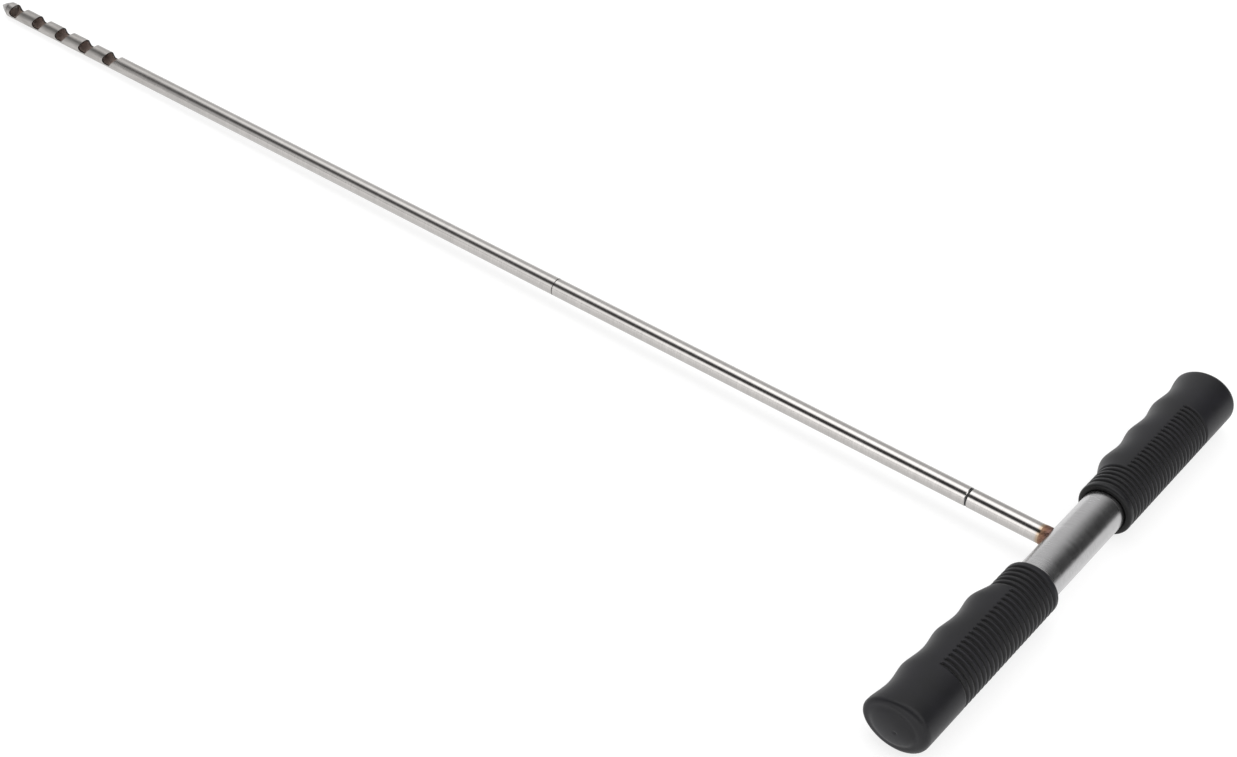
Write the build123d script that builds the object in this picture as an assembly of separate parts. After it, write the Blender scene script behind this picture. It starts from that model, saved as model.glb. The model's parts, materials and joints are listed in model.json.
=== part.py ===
from build123d import *
import math
import os

# Take-apart T-handle soil auger, in millimetres.
#
# The auger is drawn straight, on its own axis: X runs from the crossbar's axis (X = 0)
# down the shaft to the point, Y runs along the crossbar towards the left grip, and Z is
# the way the sample windows open.  Every piece is then laid down once, by LAID_DOWN, so
# that the two grips and the foot of the sampling tube touch the ground plane Z = 0.

# ---------------------------------------------------------------- driving dimensions
ROD_R = 5.0                 # outside radius of the neck, rod and sampling tube
ROD_WALL = 1.0              # wall of both tubes
UPPER_JOINT_X = 53.7        # middle of the joint under the crossbar
LOWER_JOINT_X = 316.0       # middle of the joint between rod and sampling tube
POINT_X = 807.0             # the auger's point

BAR_R = 11.0                # crossbar tube
BAR_WALL = 1.5
BAR_HALF = 140.0

GRIP_START_Y = 33.0         # inner end of a grip
GRIP_END_Y = 145.5          # closed outer end
GRIP_R = 14.1               # palm side and collar of a grip
COLLAR_END_Y = 49.0         # the round collar runs to here
FINGER_PITCH = 26.2         # crest to crest along the finger side
FIRST_CREST_Y = 61.8
FINGER_CRESTS = 3           # full waves after the first crest
CREST_REACH = 17.8          # crossbar axis to the first crest
GROOVE_DEPTH = 1.6          # crest to groove
GROOVE_FULLNESS = 0.75      # under 1 makes the grooves broad and the crests narrow
REACH_RISE = 0.014          # how fast the finger side swells towards the outer end
OUTER_RIM = 5.0             # rounding of a grip's closed end
INNER_RIM = 1.6             # rounding of its open end

THREAD_R = 3.0              # M6 stud, drawn at its outside radius
THREAD_PITCH = 1.0
THREAD_LENGTH = 16.0
THREAD_CLEARANCE = 0.05     # radial, stud to tapped hole
THREAD_LEAD_IN = 0.6
HOLE_DEPTH = 17.5

SEAL_THICKNESS = 0.9
UPPER_SEAL_R = 4.7          # the upper seal shows as a dark ring just inside the rod
LOWER_SEAL_R = 3.65         # the lower seal is sunk in a counterbore
SINK_CLEARANCE = 0.05
EDGE = 0.3                  # chamfer on the rod ends
CLOSE = 0.01                # two lengths nearer than this are the same

WINDOW_COUNT = 5
WINDOW_PITCH = 24.0
FIRST_WINDOW_X = 795.1      # point-side corner of the first window's floor
WINDOW_FLOOR_Z = -1.0       # the windows are cut just past the axis
WINDOW_FLOOR_LENGTH = 8.1
WINDOW_CORNER_R = 2.2       # rounding of the point-side corner
POINT_SIDE_LEAN = 0.64      # how far that edge leans towards the handle, per mm of height
HANDLE_SIDE_LEAN = 1.05     # the same, for the edge nearer the handle

NOSE_LENGTH = 11.0          # from the foot of the sampling tube to the point
SPIGOT_LENGTH = 1.2
TIP_LAND = 1.0              # straight ring at the foot of the nose
TIP_STEP = 0.2              # the cone starts this far inside the ring
TIP_FULLNESS = (0.5, 0.68) # the flank's pull point, as shares of its length and the rod's radius

PLUG_SHANK = 22.0           # the part of a threaded plug inside its tube
SOCKET_LENGTH = 24.0
CHAMBER_PLUG_LENGTH = 10.0
CHAMBER_PLUG_GAP = 3.0      # chamber plug to the last window

WELD_LENGTH = 3.0           # weld at the crossbar, measured along the neck
WELD_ROOT = 0.9             # how far it stands off the neck at the crossbar
WELD_BULGE = 0.15           # the same, over most of its length
WELD_TOE = 0.5              # length of its faded end
WELD_START = 1.2            # length of the flare at the crossbar

# ---------------------------------------------------------------- worked out from them
ROD_BORE_R = ROD_R - ROD_WALL
TAPPED_R = THREAD_R + THREAD_CLEARANCE
NECK_END_X = UPPER_JOINT_X - SEAL_THICKNESS / 2
ROD_START_X = UPPER_JOINT_X + SEAL_THICKNESS / 2
FOOT_X = POINT_X - NOSE_LENGTH
WINDOW_CORNERS = [FIRST_WINDOW_X - WINDOW_PITCH * i for i in range(WINDOW_COUNT)]
WINDOW_REACH = WINDOW_FLOOR_LENGTH + HANDLE_SIDE_LEAN * (ROD_R - WINDOW_FLOOR_Z)
LAST_WINDOW_END = WINDOW_CORNERS[-1] - WINDOW_REACH

LAY_ANGLE = math.degrees(math.asin((GRIP_R - ROD_R) / FOOT_X))
ORIGIN_X = (POINT_X * math.cos(math.radians(LAY_ANGLE)) - GRIP_R) / 2
LAID_DOWN = Location((-ORIGIN_X, 0, GRIP_R), (0, LAY_ANGLE, 0))


def along_shaft(start, end, radius):
    """A solid round bar on the shaft's axis, from X = start to X = end."""
    bar = Cylinder(radius, end - start, align=(Align.CENTER, Align.CENTER, Align.MIN))
    return Location((start, 0, 0), (0, 90, 0)) * bar


def across(half_length, radius):
    """A solid round bar on the crossbar's axis."""
    return Rotation(90, 0, 0) * Cylinder(radius, 2 * half_length)


def turned(*points):
    """A solid turned about the shaft's axis from (X, radius) points."""
    outline = make_face(Polyline(*points, close=True))
    return revolve(outline, Axis.X)


def break_edge(solid, x, radius):
    """Chamfer the outside edge of a shaft piece at X = x."""
    rims = [e for e in solid.edges().filter_by(GeomType.CIRCLE)
            if abs(e.center().X - x) < CLOSE and abs(e.radius - radius) < CLOSE]
    return chamfer(rims, EDGE)


# ---------------------------------------------------------------- handle
def handle_tube():
    return across(BAR_HALF, BAR_R) - across(BAR_HALF + 1, BAR_R - BAR_WALL)


def finger_reach(y):
    """How far the finger side of a grip stands from the crossbar's axis."""
    if y <= COLLAR_END_Y:
        return GRIP_R
    swell = CREST_REACH + REACH_RISE * (y - FIRST_CREST_Y)
    dip = (1 - math.cos(2 * math.pi * (y - FIRST_CREST_Y) / FINGER_PITCH)) / 2
    wave = GROOVE_DEPTH * dip ** GROOVE_FULLNESS
    ramp = min(1.0, (y - COLLAR_END_Y) / (FIRST_CREST_Y - COLLAR_END_Y))
    ramp = ramp * ramp * (3 - 2 * ramp)
    if y < FIRST_CREST_Y:
        wave = 0.0
    return GRIP_R + (swell - wave - GRIP_R) * ramp


def grip_section(y):
    """Round palm side and oval finger side, as one face across the crossbar."""
    palm = ThreePointArc((0, GRIP_R), (-GRIP_R, 0), (0, -GRIP_R))
    fingers = EllipticalCenterArc((0, 0), finger_reach(y), GRIP_R, start_angle=-90, arc_size=180)
    plane = Plane(origin=(0, y, 0), x_dir=(1, 0, 0), z_dir=(0, 1, 0))
    return plane * make_face([palm, fingers])


def left_grip():
    third_of_ramp = (FIRST_CREST_Y - COLLAR_END_Y) / 3
    quarter_wave = FINGER_PITCH / 4
    stations = [GRIP_START_Y, (GRIP_START_Y + COLLAR_END_Y) / 2]
    stations += [COLLAR_END_Y + third_of_ramp * i for i in range(3)]
    stations += [FIRST_CREST_Y + quarter_wave * i for i in range(4 * FINGER_CRESTS + 1)]
    stations += [GRIP_END_Y]
    grip = loft([grip_section(y) for y in stations])
    outer_rim = grip.faces().sort_by(Axis.Y)[-1].edges()
    grip = fillet(outer_rim, OUTER_RIM)
    inner_rim = grip.faces().sort_by(Axis.Y)[0].edges()
    grip = fillet(inner_rim, INNER_RIM)
    return grip - across(BAR_HALF, BAR_R)


def right_grip():
    return mirror(left_grip(), Plane.XZ)


def neck():
    bar = along_shaft(0, NECK_END_X, ROD_R) - across(BAR_HALF, BAR_R)
    bar = break_edge(bar, NECK_END_X, ROD_R)
    return bar - along_shaft(NECK_END_X - HOLE_DEPTH, NECK_END_X + 1, TAPPED_R)


def handle_weld():
    """Bead round the neck, saddled on the crossbar and fading out along the neck."""
    end = BAR_R + WELD_LENGTH
    root_r = ROD_R + WELD_ROOT
    bead_r = ROD_R + WELD_BULGE
    bead = turned((0, ROD_R), (0, root_r), (BAR_R - WELD_START, root_r), (BAR_R + WELD_START, bead_r),
                  (end - WELD_TOE, bead_r), (end, ROD_R))
    return bead - across(BAR_HALF, BAR_R)


# ---------------------------------------------------------------- joints and rods
def seal(middle_x, radius):
    start = middle_x - SEAL_THICKNESS / 2
    end = middle_x + SEAL_THICKNESS / 2
    return along_shaft(start, end, radius) - along_shaft(start - 1, end + 1, TAPPED_R)


def threaded_plug(shoulder_x):
    """Turned plug: a shank inside the tube, and an M6 stud that points to the handle."""
    shank = along_shaft(shoulder_x, shoulder_x + PLUG_SHANK, ROD_BORE_R)
    stud = along_shaft(shoulder_x - THREAD_LENGTH, shoulder_x, THREAD_R)
    lead_in = [e for e in stud.edges().filter_by(GeomType.CIRCLE)
               if e.center().X < shoulder_x - THREAD_LENGTH + CLOSE]
    return shank + chamfer(lead_in, THREAD_LEAD_IN)


def tube(start, end):
    return along_shaft(start, end, ROD_R) - along_shaft(start - 1, end + 1, ROD_BORE_R)


def upper_rod():
    body = break_edge(tube(ROD_START_X, LOWER_JOINT_X), ROD_START_X, ROD_R)
    return break_edge(body, LOWER_JOINT_X, ROD_R)


def upper_rod_socket():
    """Tapped bush in the foot of the upper rod, with a counterbore for the lower seal."""
    bush = along_shaft(LOWER_JOINT_X - SOCKET_LENGTH, LOWER_JOINT_X, ROD_BORE_R)
    bush -= along_shaft(LOWER_JOINT_X - HOLE_DEPTH, LOWER_JOINT_X + 1, TAPPED_R)
    sink = along_shaft(LOWER_JOINT_X - SEAL_THICKNESS, LOWER_JOINT_X + 1, LOWER_SEAL_R + SINK_CLEARANCE)
    return bush - sink


def window_cutter(corner_x):
    """Mills across the tube just past its axis: a notch whose two edges lean towards the handle."""
    floor_z = WINDOW_FLOOR_Z
    top_z = floor_z + 2 * ROD_R
    handle_side_x = corner_x - WINDOW_FLOOR_LENGTH
    outline = Polyline((corner_x, floor_z), (corner_x - POINT_SIDE_LEAN * (top_z - floor_z), top_z),
                       (handle_side_x - HANDLE_SIDE_LEAN * (top_z - floor_z), top_z),
                       (handle_side_x, floor_z), close=True)
    block = extrude(Plane.XZ * make_face(outline), 2 * ROD_R, both=True)
    floor_edges = block.edges().filter_by(Axis.Y).group_by(Axis.Z)[0]
    return fillet(floor_edges.sort_by(Axis.X)[-1], WINDOW_CORNER_R)


def sampling_tube():
    body = break_edge(tube(LOWER_JOINT_X, FOOT_X), LOWER_JOINT_X, ROD_R)
    for corner_x in WINDOW_CORNERS:
        body -= window_cutter(corner_x)
    return body


def chamber_plug():
    end = LAST_WINDOW_END - CHAMBER_PLUG_GAP
    return along_shaft(end - CHAMBER_PLUG_LENGTH, end, ROD_BORE_R)


def drive_tip():
    """Slightly rounded cone on a short spigot, with a narrow land where it meets the tube."""
    land_end = FOOT_X + TIP_LAND
    along, out = TIP_FULLNESS
    pull_point = (land_end + along * (POINT_X - land_end), out * ROD_R)
    base = Polyline((POINT_X, 0), (FOOT_X - SPIGOT_LENGTH, 0), (FOOT_X - SPIGOT_LENGTH, ROD_BORE_R),
                    (FOOT_X, ROD_BORE_R), (FOOT_X, ROD_R), (land_end, ROD_R), (land_end, ROD_R - TIP_STEP))
    flank = Bezier((land_end, ROD_R - TIP_STEP), pull_point, (POINT_X, 0))
    return revolve(make_face(base.edges() + flank.edges()), Axis.X)


PIECES = {
    "handle_tube": handle_tube(),
    "left_grip": left_grip(),
    "right_grip": right_grip(),
    "neck": neck(),
    "handle_weld": handle_weld(),
    "upper_seal": seal(UPPER_JOINT_X, UPPER_SEAL_R),
    "upper_rod": upper_rod(),
    "upper_rod_thread": threaded_plug(ROD_START_X),
    "upper_rod_socket": upper_rod_socket(),
    "lower_seal": seal(LOWER_JOINT_X - SEAL_THICKNESS / 2, LOWER_SEAL_R),
    "sampling_tube": sampling_tube(),
    "sampling_tube_thread": threaded_plug(LOWER_JOINT_X),
    "chamber_plug": chamber_plug(),
    "drive_tip": drive_tip(),
}

os.makedirs("parts", exist_ok=True)
for name, piece in PIECES.items():
    export_step(LAID_DOWN * piece, f"parts/{name}.step")
print("lay angle", round(LAY_ANGLE, 4), "origin x", round(ORIGIN_X, 3))
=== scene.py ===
import json
import math

import bpy
import numpy as np
from mathutils import Euler, Matrix, Vector


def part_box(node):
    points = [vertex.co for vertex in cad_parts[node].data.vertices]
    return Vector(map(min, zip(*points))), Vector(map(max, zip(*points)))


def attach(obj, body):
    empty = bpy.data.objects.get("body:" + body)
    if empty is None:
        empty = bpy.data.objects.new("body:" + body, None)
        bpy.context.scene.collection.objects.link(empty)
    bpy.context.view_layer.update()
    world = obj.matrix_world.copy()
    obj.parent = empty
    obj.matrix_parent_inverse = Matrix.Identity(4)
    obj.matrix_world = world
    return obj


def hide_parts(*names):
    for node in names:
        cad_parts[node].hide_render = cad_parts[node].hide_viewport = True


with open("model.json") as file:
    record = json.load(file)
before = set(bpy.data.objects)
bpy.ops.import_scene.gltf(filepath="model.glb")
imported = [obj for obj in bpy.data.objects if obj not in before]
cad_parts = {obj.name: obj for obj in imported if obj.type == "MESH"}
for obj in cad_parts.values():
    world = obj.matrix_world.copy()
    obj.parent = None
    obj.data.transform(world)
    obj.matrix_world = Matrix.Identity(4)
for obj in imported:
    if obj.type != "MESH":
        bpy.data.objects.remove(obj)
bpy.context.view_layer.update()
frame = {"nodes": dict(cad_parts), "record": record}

MM = 0.001
PIECE_GAP = 0.02 * MM       # a visual piece stays this far off its neighbours

# ---------------------------------------------------------------- the auger's own axes
# Everything below is laid out straight, as the auger is made: X down the shaft from the
# crossbar's axis, Y along the crossbar to the left grip, Z the way the windows open.
# STRAIGHT turns that into the row frame, where the auger lies on its grips and its foot.
RECORD = frame["record"]
MOUNTS = {mount["name"]: mount for mount in RECORD["mounts"]}
CROSSBAR_AT = Vector(MOUNTS["crossbar_rest"]["pos_m"])
SHAFT_AXIS = Vector(MOUNTS["upper_rod_shank"]["axis"]).normalized()
ROD_R = MOUNTS["upper_rod_shank"]["dims"]["r_mm"] * MM
CROSSBAR_AXIS = Vector((0, 1, 0))
OPEN_SIDE = SHAFT_AXIS.cross(CROSSBAR_AXIS)
STRAIGHT = Matrix((SHAFT_AXIS, CROSSBAR_AXIS, OPEN_SIDE)).transposed().to_4x4()
STRAIGHT.translation = CROSSBAR_AT
DIP = math.asin(SHAFT_AXIS.z)      # below 0: the shaft runs down towards its point


def reach(node):
    """Where a shaft node starts and ends along the shaft, in straight X."""
    low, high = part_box(node)
    slant = SHAFT_AXIS.x
    return (low[0] - CROSSBAR_AT.x) / slant, (high[0] - CROSSBAR_AT.x) / slant


# ---------------------------------------------------------------- node trees
NOISE_LOW, NOISE_HIGH = 0.3, 0.7    # the span that a noise texture mostly covers


class Tree:
    """A short way to build a node tree."""

    def __init__(self, tree):
        self.tree = tree

    def feed(self, socket, value):
        """Links a socket to an output, or sets it."""
        if isinstance(value, bpy.types.NodeSocket):
            self.tree.links.new(value, socket)
        else:
            socket.default_value = value

    def node(self, kind, inputs=None, **settings):
        made = self.tree.nodes.new("ShaderNode" + kind)
        for key, value in settings.items():
            setattr(made, key, value)
        for key, value in (inputs or {}).items():
            self.feed(made.inputs[key], value)
        return made

    def maths(self, operation, first, second=0.0):
        return self.node("Math", {0: first, 1: second}, operation=operation).outputs[0]

    def range(self, value, low, high):
        """From low to high as value goes from 0 to 1."""
        return self.node("MapRange", {"Value": value, "To Min": low, "To Max": high}).outputs[0]

    def share(self, value, start, end):
        """From 0 to 1 as value goes from start to end."""
        return self.node("MapRange", {"Value": value, "From Min": start, "From Max": end}).outputs[0]

    def ramp(self, value, *stops):
        """A colour ramp through (position, colour) stops; a colour may be one grey number."""
        made = self.node("ValToRGB", {"Fac": value})
        elements = made.color_ramp.elements
        while len(elements) < len(stops):
            elements.new(0.5)
        for element, (position, colour) in zip(elements, stops):
            grey = isinstance(colour, (int, float))
            element.position = position
            element.color = (colour, colour, colour, 1) if grey else (*colour, 1)
        return made.outputs["Color"]

    def spread(self, noise, low, high):
        """From one colour to another over the span of a noise."""
        return self.ramp(noise, (NOISE_LOW, low), (NOISE_HIGH, high))

    def mix(self, factor, first, second, mode="MIX"):
        made = self.node("Mix", data_type="RGBA", blend_type=mode)
        self.feed(made.inputs["Factor"], factor)
        for socket, colour in ((made.inputs[6], first), (made.inputs[7], second)):
            self.feed(socket, (*colour, 1) if isinstance(colour, tuple) else colour)
        return made.outputs[2]


class Finish(Tree):
    """One material's node tree."""

    def __init__(self, name):
        self.material = bpy.data.materials.new(name)
        self.material.use_nodes = True
        super().__init__(self.material.node_tree)
        self.shader = self.tree.nodes["Principled BSDF"]
        self.place = self.tree.nodes.new("ShaderNodeTexCoord").outputs["Object"]

    def set(self, **values):
        for socket, value in values.items():
            self.shader.inputs[socket.replace("_", " ")].default_value = value

    def link(self, output, socket):
        self.tree.links.new(output, self.shader.inputs[socket])

    def straight(self, stretch):
        """Object coordinates in the auger's straight axes, scaled per metre along each."""
        moved = self.node("VectorMath", {0: self.place, 1: tuple(CROSSBAR_AT)}, operation="SUBTRACT")
        turned = self.node("VectorRotate", {"Vector": moved.outputs[0], "Axis": tuple(CROSSBAR_AXIS),
                                            "Angle": DIP}, rotation_type="AXIS_ANGLE")
        return self.node("VectorMath", {0: turned.outputs[0], 1: stretch}, operation="MULTIPLY").outputs[0]

    def axes(self):
        """Straight X, Y and Z, in metres."""
        return self.node("SeparateXYZ", {0: self.straight((1, 1, 1))}).outputs

    def distance(self, first, second):
        """How far from an axis, given two straight coordinates."""
        squares = self.maths("ADD", self.maths("POWER", first, 2.0), self.maths("POWER", second, 2.0))
        return self.maths("SQRT", squares)

    def noise(self, vector, scale=1.0, detail=3.0, rough=0.5):
        """Marks per metre are given by scale, or by the stretch of vector."""
        return self.node("TexNoise", {"Vector": vector, "Scale": scale, "Detail": detail,
                                      "Roughness": rough}).outputs["Fac"]

    def bump(self, *layers):
        """Stacks (height, distance in metres, strength) layers into the shader's normal."""
        normal = None
        for height, distance, strength in layers:
            inputs = {"Height": height, "Distance": distance, "Strength": strength}
            if normal is not None:
                inputs["Normal"] = normal
            normal = self.node("Bump", inputs).outputs["Normal"]
        self.link(normal, "Normal")

    def ring_tangent(self, axis):
        """Turns the satin grain round a bar, so that gloss spreads along it."""
        normal = self.node("NewGeometry").outputs["Normal"]
        tangent = self.node("VectorMath", {0: tuple(axis), 1: normal}, operation="CROSS_PRODUCT")
        self.link(tangent.outputs[0], "Tangent")


# ---------------------------------------------------------------- materials
# A grain or cloud is given as the marks per metre along straight X, Y and Z.
SHAFT_TINT = (0.535, 0.515, 0.50)
SHAFT_ROUGHNESS = 0.13
SHAFT_GRAIN = (2600, 90, 90)
SHAFT_CLOUD = (160, 60, 60)
TURNED_TINT = (0.52, 0.505, 0.49)
TURNED_ROUGHNESS = 0.2
HANDLE_TINT = (0.56, 0.555, 0.56)
HANDLE_ROUGHNESS = 0.24
HANDLE_GRAIN = (90, 2200, 90)
HANDLE_CLOUD = (70, 40, 70)
SMOOTHEST, ROUGHEST = 0.7, 1.9      # satin steel's roughness varies between these shares

WORN_START = 560 * MM       # the sampling tube is dull from here ...
WORN_FULL = 740 * MM        # ... and fully dull round its windows
WORN_ROUGHNESS = 0.2
RUB_MARKS = (60, 260, 260)
EDGE_SKIN = 0.06 * MM       # outside steel wraps this far onto a milled edge
BORE_SKIN = 0.985 * MM      # nearer the axis than this is bore, not milled edge

TIP_ROUGHNESS = 0.34
TIP_GRAIN = (1800, 120, 120)
TIP_CLOUD = (300, 150, 150)
DIRT_START, DIRT_FULL = 0.68, 0.9   # shares of the point's length
DIRT_METAL = 0.25

HEAT_REACH = 2.5 * MM       # how far the weld's heat has tinted the neck
STRAW = (0.37, 0.28, 0.20)
BAND_BLUR = 0.25            # how far the mottle shifts the weld's bands of colour
GROOVE_SHADE_DEPTH = 0.7 * MM     # a grip's grooves are painted near-black as shade from this depth
# near-black painted shade for the bottoms of a grip's grooves
GROOVE_PAINTED_SHADE = (0.0012, 0.0012, 0.0013)


def satin_grain(made, rough, axis, grain, cloudy):
    """Ground round its bar: fine rings and a softer cloud, and gloss spread along the bar.

    Gives the rings, the cloud and the roughness.
    """
    marks = made.noise(made.straight(grain), detail=4, rough=0.6)
    cloud = made.noise(made.straight(cloudy))
    gloss = made.range(made.maths("MULTIPLY", marks, cloud), rough * SMOOTHEST, rough * ROUGHEST)
    made.link(gloss, "Roughness")
    made.set(Metallic=1.0, Anisotropic=0.6)
    made.ring_tangent(axis)
    made.bump((marks, 0.02 * MM, 0.12), (cloud, 0.15 * MM, 0.10))
    return marks, cloud, gloss


def satin_steel(made, tint=SHAFT_TINT, rough=SHAFT_ROUGHNESS, axis=SHAFT_AXIS, grain=SHAFT_GRAIN,
                cloudy=SHAFT_CLOUD):
    """Satin stainless: gives its colour and its roughness."""
    marks, cloud, gloss = satin_grain(made, rough, axis, grain, cloudy)
    shade = made.mix(0.5, made.spread(marks, 0.84, 1.0), made.spread(cloud, 0.86, 1.0), "MULTIPLY")
    return made.mix(1.0, shade, tint, "MULTIPLY"), gloss


def plain_steel(name, **finish):
    made = Finish(name)
    colour, _ = satin_steel(made, **finish)
    made.link(colour, "Base Color")
    return made.material


def sampler_steel():
    """The shaft's steel, duller towards the point; in the windows, soil stain in the bore and painted shade
    on the milled edges, near-black for the shadow in the wall's thickness.
    """
    made = Finish("sampler_steel")
    bright, gloss = satin_steel(made)
    place = made.axes()
    worn = made.share(place["X"], WORN_START, WORN_FULL)
    rub = made.noise(made.straight(RUB_MARKS), detail=4, rough=0.6)
    dull = made.spread(rub, (0.30, 0.285, 0.27), (0.46, 0.44, 0.425))
    outside = made.mix(worn, bright, dull)
    made.link(made.maths("ADD", gloss, made.maths("MULTIPLY", worn, WORN_ROUGHNESS)), "Roughness")

    soil = made.noise(made.place, 700.0, detail=5, rough=0.65)
    stain = made.spread(soil, (0.27, 0.21, 0.185), (0.46, 0.375, 0.335))
    # painted shade: the windows' milled edges are near-black for the shadow in the wall's thickness, not the
    # steel's own colour
    milled_painted_shade = made.spread(soil, (0.012, 0.010, 0.009), (0.03, 0.025, 0.022))
    radius = made.distance(place["Y"], place["Z"])
    in_bore = made.maths("LESS_THAN", radius, ROD_R - BORE_SKIN)
    skin = made.maths("GREATER_THAN", radius, ROD_R - EDGE_SKIN)
    made.link(made.mix(skin, made.mix(in_bore, milled_painted_shade, stain), outside), "Base Color")
    made.link(skin, "Metallic")
    made.set(Specular_IOR_Level=0.08)
    return made.material


def tip_steel():
    """The point: dull and scuffed from the ground, darkest at its end."""
    made = Finish("tip_steel")
    satin_grain(made, TIP_ROUGHNESS, SHAFT_AXIS, TIP_GRAIN, TIP_CLOUD)
    near_point = made.share(made.axes()["X"], *reach("drive_tip"))
    scuffs = made.noise(made.place, 500.0, detail=5, rough=0.65)
    steel = made.spread(scuffs, (0.22, 0.21, 0.20), (0.40, 0.385, 0.375))
    dirty = made.spread(scuffs, (0.07, 0.06, 0.055), (0.16, 0.145, 0.135))
    dirt = made.ramp(near_point, (DIRT_START, 0.0), (DIRT_FULL, 1.0))
    made.link(made.mix(dirt, steel, dirty), "Base Color")
    made.link(made.range(dirt, 1.0, DIRT_METAL), "Metallic")
    made.set(Specular_IOR_Level=0.1)
    return made.material


def neck_steel():
    """The shaft's steel, straw-coloured by the heat of the weld at its handle end."""
    made = Finish("neck_steel")
    steel, _ = satin_steel(made)
    toe = reach("handle_weld")[1]
    heat = made.node("MapRange", {"Value": made.axes()["X"], "From Min": toe, "From Max": toe + HEAT_REACH,
                                  "To Min": 1.0, "To Max": 0.0}, interpolation_type="SMOOTHERSTEP")
    made.link(made.mix(heat.outputs[0], steel, STRAW), "Base Color")
    return made.material


def weld_metal():
    """Heat-tinted weld: reddish brown next to the crossbar, lighter towards the neck, and mottled."""
    made = Finish("weld")
    mottle = made.noise(made.place, 700.0, detail=4, rough=0.6)
    along = made.share(made.axes()["X"], *reach("handle_weld"))
    bands = made.maths("ADD", along, made.range(mottle, -BAND_BLUR, BAND_BLUR))
    tint = made.ramp(bands, (0.3, (0.18, 0.10, 0.08)), (0.55, (0.20, 0.105, 0.07)),
                     (0.78, (0.23, 0.125, 0.08)), (0.98, (0.28, 0.17, 0.11)))
    made.link(made.mix(1.0, tint, made.spread(mottle, 0.75, 1.0), "MULTIPLY"), "Base Color")
    made.link(made.range(mottle, 0.3, 0.5), "Roughness")
    made.set(Metallic=0.85)
    made.bump((mottle, 0.2 * MM, 0.4))
    return made.material


def moulded_rubber():
    """Black moulded rubber: fine matt grain, dusty with a violet cast, and painted shade, near-black, down in
    the grooves.
    """
    made = Finish("grip_rubber")
    grain = made.noise(made.place, 2600.0, rough=0.6)
    cloud = made.noise(made.place, 45.0, rough=0.55)
    place = made.axes()
    # painted shade: the rubber darkens to near-black down in the grip's grooves
    above_groove_shade = made.share(made.distance(place["X"], place["Z"]), GRIP_R - GROOVE_SHADE_DEPTH, GRIP_R)
    past_ribs = made.maths("GREATER_THAN", made.maths("ABSOLUTE", place["Y"]), RIBS_END)
    dusty = made.spread(cloud, (0.0076, 0.0076, 0.0088), (0.0114, 0.0110, 0.0144))
    made.link(made.mix(made.maths("MAXIMUM", above_groove_shade, past_ribs), GROOVE_PAINTED_SHADE, dusty), "Base Color")
    made.link(made.range(made.maths("MULTIPLY", grain, cloud), 0.36, 0.6), "Roughness")
    made.set(Specular_IOR_Level=0.26)
    made.bump((grain, 0.06 * MM, 0.3))
    return made.material


def seal_rubber():
    made = Finish("seal_rubber")
    grain = made.noise(made.place, 2500.0)
    made.link(made.spread(grain, 0.010, 0.018), "Base Color")
    made.link(made.range(grain, 0.5, 0.7), "Roughness")
    made.bump((grain, 0.05 * MM, 0.3))
    return made.material


# ---------------------------------------------------------------- mesh helpers
def new_piece(name, points, faces, material, body):
    """A mesh piece from straight coordinates in metres, riding on a body."""
    mesh = bpy.data.meshes.new(name)
    mesh.from_pydata([STRAIGHT @ Vector(p) for p in points], [], faces)
    mesh.validate()
    mesh.polygons.foreach_set("use_smooth", [True] * len(mesh.polygons))
    mesh.materials.append(material)
    piece = bpy.data.objects.new(name, mesh)
    bpy.context.scene.collection.objects.link(piece)
    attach(piece, body)
    return piece


def tube_faces(rings, around, closed=False):
    """Quads between successive rings of points; the two ends are capped, or joined to each other."""
    faces = []
    for ring in range(rings if closed else rings - 1):
        a = ring * around
        b = (ring + 1) % rings * around
        for i in range(around):
            j = (i + 1) % around
            faces.append((a + i, a + j, b + j, b + i))
    if not closed:
        last = (rings - 1) * around
        faces.append(tuple(range(around))[::-1])
        faces.append(tuple(range(last, last + around)))
    return faces


def shaft_points(rings):
    """Straight coordinates from (x, radius, angle) about the shaft."""
    return [(x, radius * math.cos(angle), radius * math.sin(angle)) for x, radius, angle in rings]


def smooth_step(value, start, end):
    t = np.clip((value - start) / (end - start), 0.0, 1.0)
    return t * t * (3 - 2 * t)


def bell(value, middle, width):
    """1 at the middle, fading away on both sides."""
    return np.exp(-((value - middle) / width) ** 2)


# ---------------------------------------------------------------- grips
GRIP_LOW, GRIP_HIGH = (Vector(corner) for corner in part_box("left_grip"))
TUBE_LOW, TUBE_HIGH = (Vector(corner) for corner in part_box("handle_tube"))
BAR_R = (TUBE_HIGH.x - TUBE_LOW.x) / 2
GRIP_START = GRIP_LOW.y
GRIP_END = GRIP_HIGH.y
GRIP_R = CROSSBAR_AT.z
COLLAR_END = GRIP_START + 16 * MM
FIRST_CREST = GRIP_START + 28.8 * MM
FINGER_PITCH = 26.2 * MM
CREST_REACH = 17.8 * MM
GROOVE_DEPTH = 1.6 * MM
GROOVE_FULLNESS = 0.75
REACH_RISE = 0.014          # each crest stands this much further out for its distance

RIB_PITCH = 3.33 * MM
RIB_COUNT = 23
FULL_RINGS = 5              # the first grooves run right round the collar
FIRST_RIB = GRIP_START + 4.6 * MM
RIBS_END = FIRST_RIB + RIB_COUNT * RIB_PITCH
RIB_DEPTH = 1.0 * MM
RIB_FULLNESS = 2.0          # over 1 makes the ribs broad and the grooves narrow
RIB_FADE = 0.15             # the first and last grooves start and stop within this much of a pitch
RIB_END = math.cos(math.radians(87))    # where a groove stops, short of the finger side
RIB_END_BLUR = 0.03
POCKET_DEPTH = 0.35 * MM    # a groove's end is a little deeper
POCKET_WIDTH = 0.07

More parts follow.
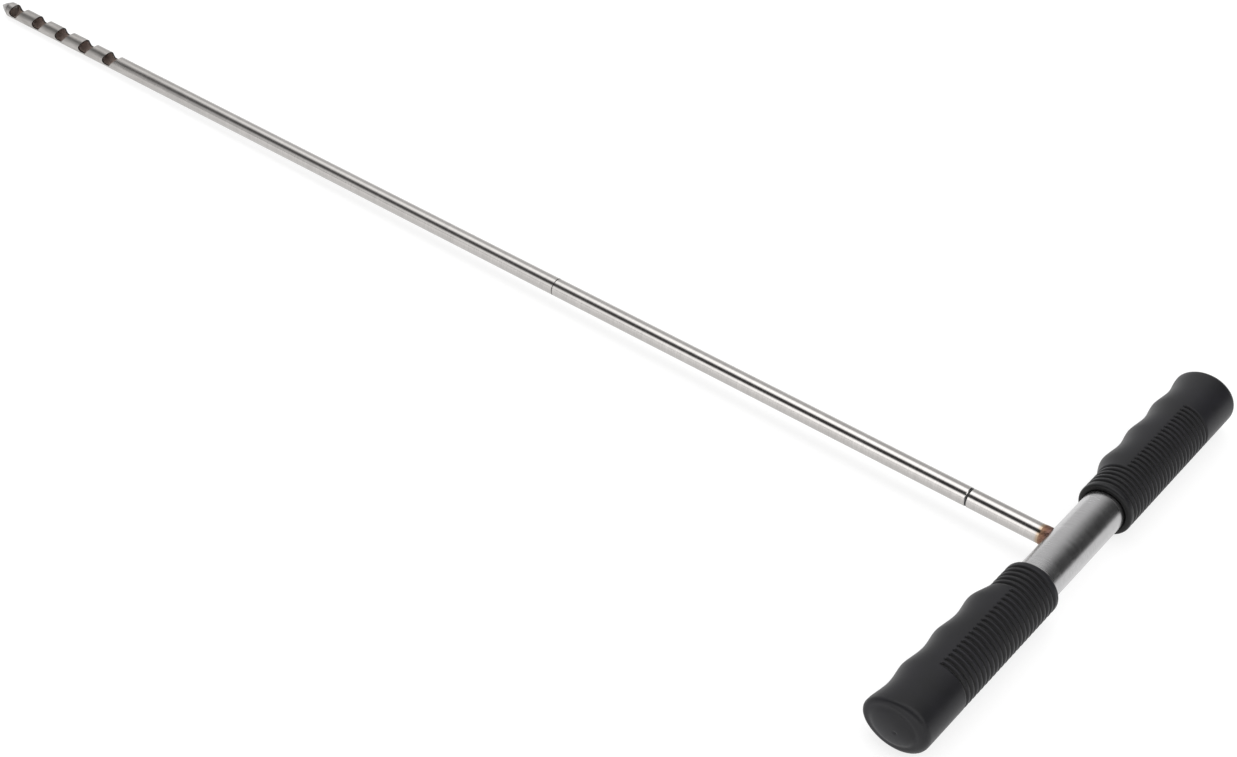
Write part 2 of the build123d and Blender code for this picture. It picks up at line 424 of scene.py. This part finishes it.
END_WALL = 3.5 * MM
SEAT_GAP = 0.03 * MM
MOUTH_BEVEL = 0.6 * MM
INNER_RIM = 1.6 * MM
FINGER_RIM = 2.4 * MM       # the closed end is rounded less on the finger side
PALM_RIM = 4.2 * MM
RIM_TURN = 0.6              # the rim changes over where the angle's cosine is within this of 0
DOME_RISE = 2.1 * MM
DOME_BOW = 2.2
CREASE_DEPTH = 0.35 * MM    # soft ring round the end face
CREASE_AT, CREASE_WIDTH = 0.12, 0.1
GATE_DEPTH = 0.45 * MM      # the mould's gate mark in the middle
GATE_WIDTH = 0.05
PIN_R = 0.02 * MM           # the first and last rings, each closed by a flat

GRIP_AROUND = 240
MOUTH_RINGS, RINGS_PER_RIB, RIM_RINGS, DOME_RINGS = 8, 9, 12, 24


def finger_reach(y):
    """Crossbar axis to the finger side of the grip."""
    swell = CREST_REACH + REACH_RISE * (y - FIRST_CREST)
    dip = (1 - np.cos(2 * np.pi * (y - FIRST_CREST) / FINGER_PITCH)) / 2
    wave = np.where(y < FIRST_CREST, 0.0, GROOVE_DEPTH * dip ** GROOVE_FULLNESS)
    ramp = smooth_step(y, COLLAR_END, FIRST_CREST)
    return GRIP_R + (swell - wave - GRIP_R) * ramp


def grip_radius(y, angles):
    """Outer radius at a place along the crossbar, at angles from the shaft side upwards."""
    side = np.cos(angles)
    oval = 1 / np.sqrt((side / finger_reach(y)) ** 2 + (np.sin(angles) / GRIP_R) ** 2)
    plain = np.where(side > 0, oval, GRIP_R)
    number = (y - FIRST_RIB) / RIB_PITCH
    before_first, after_last, after_full = -0.5, RIB_COUNT - 0.5, FULL_RINGS - 0.5
    ribbed = smooth_step(number, before_first, before_first + RIB_FADE)
    ribbed = ribbed * (1 - smooth_step(number, after_last - RIB_FADE, after_last))
    groove = (0.5 + 0.5 * np.cos(2 * np.pi * number)) ** RIB_FULLNESS * ribbed
    palm = smooth_step(RIB_END - side, -RIB_END_BLUR, RIB_END_BLUR)
    full = 1 - smooth_step(number, after_full - RIB_FADE, after_full + RIB_FADE)
    pocket = palm * (1 - full) * bell(side, RIB_END, POCKET_WIDTH)
    return plain - groove * (RIB_DEPTH * np.maximum(palm, full) + POCKET_DEPTH * pocket)


def grip(name, side, material):
    """One moulded grip: collar, ribbed palm side, scalloped finger side and domed closed end."""
    angles = np.linspace(0, 2 * np.pi, GRIP_AROUND, endpoint=False)
    even = np.ones(GRIP_AROUND)
    seat = BAR_R + SEAT_GAP
    seat_end = GRIP_END - END_WALL
    bore = ((seat_end, PIN_R), (seat_end, seat), (GRIP_START + MOUTH_BEVEL, seat),
            (GRIP_START, seat + MOUTH_BEVEL))
    rings = [(y * even, radius * even) for y, radius in bore]
    for turn in np.linspace(np.pi / 2, 0, MOUTH_RINGS):
        y = GRIP_START + INNER_RIM * (1 - math.sin(turn))
        rings.append((y * even, grip_radius(y, angles) - INNER_RIM * (1 - math.cos(turn))))

    rim = PALM_RIM + (FINGER_RIM - PALM_RIM) * smooth_step(np.cos(angles), -RIM_TURN, RIM_TURN)
    rim_top = GRIP_END - DOME_RISE
    rim_start = rim_top - rim
    for y in np.arange(GRIP_START + INNER_RIM, rim_start.min(), RIB_PITCH / RINGS_PER_RIB)[1:]:
        rings.append((y * even, grip_radius(y, angles)))
    edge = grip_radius(rim_start, angles)
    for turn in np.linspace(0, np.pi / 2, RIM_RINGS):
        rings.append((rim_start + rim * math.sin(turn), edge - rim * (1 - math.cos(turn))))
    for inward in np.linspace(0, 1, DOME_RINGS + 1)[1:]:
        rise = DOME_RISE * (1 - (1 - inward) ** DOME_BOW)
        rise -= CREASE_DEPTH * bell(inward, CREASE_AT, CREASE_WIDTH)
        rise -= GATE_DEPTH * bell(inward, 1.0, GATE_WIDTH)
        rings.append(((rim_top + rise) * even, np.maximum((edge - rim) * (1 - inward), PIN_R)))

    points = [(r * math.cos(a), side * y, r * math.sin(a)) for ys, radii in rings
              for y, r, a in zip(ys, radii, angles)]
    faces = tube_faces(len(rings), GRIP_AROUND)
    if side > 0:
        faces = [face[::-1] for face in faces]
    piece = new_piece(name + "_moulding", points, faces, material, "handle")
    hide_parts(name)


# ---------------------------------------------------------------- threads
THREAD_R = 3.0 * MM
THREAD_PITCH = 1.0 * MM
THREAD_DEPTH = 0.55 * MM
THREAD_LENGTH = 16.0 * MM
CREST_SHAPE = 0.8           # under 1 leaves narrow crests
LEAD_IN = 1.2 * MM          # the first turns are turned down to LEAD_SHARE of the radius
LEAD_SHARE = 0.82
RUN_OUT = 0.8 * MM          # the thread fades out before the shoulder
TUBE_WALL = 1.0 * MM
SHANK_R = ROD_R - TUBE_WALL - PIECE_GAP
THREAD_AROUND = 64
STEPS_PER_TURN = 12


def threaded_plug(name, node, body, material):
    """A plug in its tube, with a real helical thread on the stud."""
    start, end = reach(node)
    shoulder = start + THREAD_LENGTH
    steps = int(THREAD_LENGTH / THREAD_PITCH * STEPS_PER_TURN)
    turns = np.linspace(0, 2 * np.pi, THREAD_AROUND, endpoint=False)
    rings = []
    for step in range(steps + 1):
        x = start + THREAD_LENGTH * step / steps
        blank = LEAD_SHARE + (1 - LEAD_SHARE) * min(1.0, (x - start) / LEAD_IN)
        fade = min(1.0, (shoulder - x) / RUN_OUT)
        for angle in turns:
            phase = 2 * math.pi * (x - start) / THREAD_PITCH - angle
            groove = (0.5 - 0.5 * math.cos(phase)) ** CREST_SHAPE
            rings.append((x, THREAD_R * blank - PIECE_GAP - THREAD_DEPTH * groove * fade, angle))
    rings += [(x, SHANK_R, angle) for x in (shoulder, end) for angle in turns]
    faces = tube_faces(steps + 3, THREAD_AROUND)
    piece = new_piece(name, shaft_points(rings), faces, material, body)
    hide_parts(node)


# ---------------------------------------------------------------- weld
WELD_SKIN = 0.3 * MM        # how far the bead is sunk in the neck and the crossbar
WELD_BULGE = 0.12 * MM
RIPPLE_HEIGHT = 0.07 * MM
RIPPLES = 15
RIPPLE_LAG = 0.9            # each ripple trails behind, in radians over the bead's width
WELD_AROUND, WELD_STEPS = 200, 20


def saddle_x(angle, radius):
    """Where the crossbar's surface meets a circle round the neck."""
    return math.sqrt(BAR_R ** 2 - (radius * math.sin(angle)) ** 2)


def weld_bead(material):
    """A nearly flush bead round the neck, its ripples laid one over the next."""
    end = reach("handle_weld")[1] - PIECE_GAP
    inner_r = ROD_R - WELD_SKIN
    turns = np.linspace(0, 2 * np.pi, WELD_AROUND, endpoint=False)
    rings = []
    for step in range(WELD_STEPS + 1):
        share = step / WELD_STEPS
        swell = math.sqrt(math.cos(math.pi * share / 2)) if share < 1 else 0.0
        for angle in turns:
            root = saddle_x(angle, ROD_R) + PIECE_GAP
            ripple = 0.5 + 0.5 * math.cos(RIPPLES * (angle + RIPPLE_LAG * share))
            radius = ROD_R + PIECE_GAP + (WELD_BULGE + RIPPLE_HEIGHT * ripple) * swell
            rings.append((root + (end - root) * share, radius, angle))
    rings += [(end, inner_r, angle) for angle in turns]
    rings += [(saddle_x(angle, inner_r) - WELD_SKIN, inner_r, angle) for angle in turns]
    faces = tube_faces(WELD_STEPS + 3, WELD_AROUND, closed=True)
    piece = new_piece("weld_bead", shaft_points(rings), faces, material, "handle")
    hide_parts("handle_weld")


# ---------------------------------------------------------------- build the looks
SHAFT_STEEL = plain_steel("shaft_steel")
TURNED_STEEL = plain_steel("turned_steel", tint=TURNED_TINT, rough=TURNED_ROUGHNESS)
HANDLE_STEEL = plain_steel("handle_steel", tint=HANDLE_TINT, rough=HANDLE_ROUGHNESS, axis=CROSSBAR_AXIS,
                           grain=HANDLE_GRAIN, cloudy=HANDLE_CLOUD)
RUBBER = moulded_rubber()
SEAL = seal_rubber()
FINISHES = {
    "handle_tube": HANDLE_STEEL, "neck": neck_steel(), "upper_rod": SHAFT_STEEL,
    "upper_rod_socket": TURNED_STEEL, "sampling_tube": sampler_steel(), "chamber_plug": TURNED_STEEL,
    "drive_tip": tip_steel(), "upper_seal": SEAL, "lower_seal": SEAL,
}
for node, material in FINISHES.items():
    for slot in frame["nodes"][node].material_slots:
        slot.material = material

grip("left_grip", 1, RUBBER)
grip("right_grip", -1, RUBBER)
threaded_plug("upper_rod_stud", "upper_rod_thread", "rod", TURNED_STEEL)
threaded_plug("sampling_tube_stud", "sampling_tube_thread", "sampler", TURNED_STEEL)
weld_bead(weld_metal())


# ---------------------------------------------------------------- floor, light and camera
FLOOR_HALF = 6.0
FLOOR_GLOW = 0.78           # most of the lit table's light is its own, so shadows stay faint

# The studio, as brightness by direction. LEVELS run in degrees over the shaft, from the
# horizon in front (0) up and over to the horizon behind (180): a front box, the dark gap
# between the boxes, the overhead box, and the back wall. The FAR levels are the same boxes
# towards the point, where they fade. The back wall falls off towards the crossbar's side.
NEAR_LEVELS = ((0, 1.0), (8, 1.5), (16, 2.1), (32, 2.1), (41, 0.6), (47, 0.06), (72, 0.06), (79, 0.7),
               (86, 1.9), (94, 2.3), (112, 2.3), (123, 1.3), (133, 0.72), (155, 0.76), (180, 0.82))
FAR_LEVELS = ((0, 0.68), (20, 0.6), (33, 0.42), (46, 0.2), (62, 0.13), (75, 0.3), (88, 0.85),
              (100, 1.35), (118, 1.3), (134, 0.8), (155, 0.76), (180, 0.8))
BACK_WALL = ((-1.0, 0.07), (-0.6, 0.05), (-0.3, 0.07), (-0.1, 0.22), (0.03, 0.4), (0.15, 0.6),
             (0.26, 0.85), (0.38, 1.0), (0.5, 1.05))
FAR_START, FAR_END = 0.42, 0.72
BACK_START, BACK_END = 122.0, 134.0

CAMERA_AT = CROSSBAR_AT + Vector((-0.2529, 0.6427, 0.6468))
CAMERA_TURN = (50.20, -0.60, -140.26)
CAMERA_LENS = 57.46
CAMERA_SENSOR = 36.0


def floor():
    made = Finish("floor")
    grain = made.noise(made.place, 6.0, detail=2)
    made.link(made.spread(grain, 0.275, 0.285), "Base Color")
    made.set(Roughness=0.4, Specular_IOR_Level=0.3, Emission_Color=(1, 1, 1, 1), Emission_Strength=FLOOR_GLOW)
    mesh = bpy.data.meshes.new("floor")
    corners = [(x * FLOOR_HALF, y * FLOOR_HALF, 0) for x, y in ((-1, -1), (1, -1), (1, 1), (-1, 1))]
    mesh.from_pydata(corners, [], [(0, 1, 2, 3)])
    mesh.materials.append(made.material)
    plane = bpy.data.objects.new("floor", mesh)
    bpy.context.scene.collection.objects.link(plane)


def studio_sky():
    """The studio's light, with plain white where the camera looks past the floor."""
    world = bpy.data.worlds.new("studio")
    bpy.context.scene.world = world
    world.use_nodes = True
    world.node_tree.nodes.clear()
    sky = Tree(world.node_tree)

    def levels(value, stops, low, high):
        """Brightness over value, with its stops given between low and high."""
        placed = [((at - low) / (high - low), level) for at, level in stops]
        return sky.ramp(sky.share(value, low, high), *placed)

    way = sky.node("SeparateXYZ", {0: sky.node("TexCoord").outputs["Generated"]}).outputs
    degrees = sky.maths("MULTIPLY", sky.maths("ARCTAN2", way["Z"], way["Y"]), 180 / math.pi)
    far = sky.share(way["X"], FAR_START, FAR_END)
    boxes = sky.mix(far, levels(degrees, NEAR_LEVELS, 0, 180), levels(degrees, FAR_LEVELS, 0, 180))
    wall = sky.mix(1.0, boxes, levels(way["X"], BACK_WALL, -1, 1), "MULTIPLY")
    light = sky.mix(sky.share(degrees, BACK_START, BACK_END), boxes, wall)
    seen = sky.node("LightPath").outputs["Is Camera Ray"]
    background = sky.node("Background", {"Color": sky.mix(seen, light, (1, 1, 1))})
    sky.node("OutputWorld", {"Surface": background.outputs[0]})


def camera():
    data = bpy.data.cameras.new("camera")
    data.lens = CAMERA_LENS
    data.sensor_width = CAMERA_SENSOR
    made = bpy.data.objects.new("camera", data)
    made.location = CAMERA_AT
    made.rotation_euler = Euler([math.radians(a) for a in CAMERA_TURN])
    bpy.context.scene.collection.objects.link(made)
    bpy.context.scene.camera = made


floor()
studio_sky()
camera()
bpy.context.scene.view_settings.view_transform = "Standard"
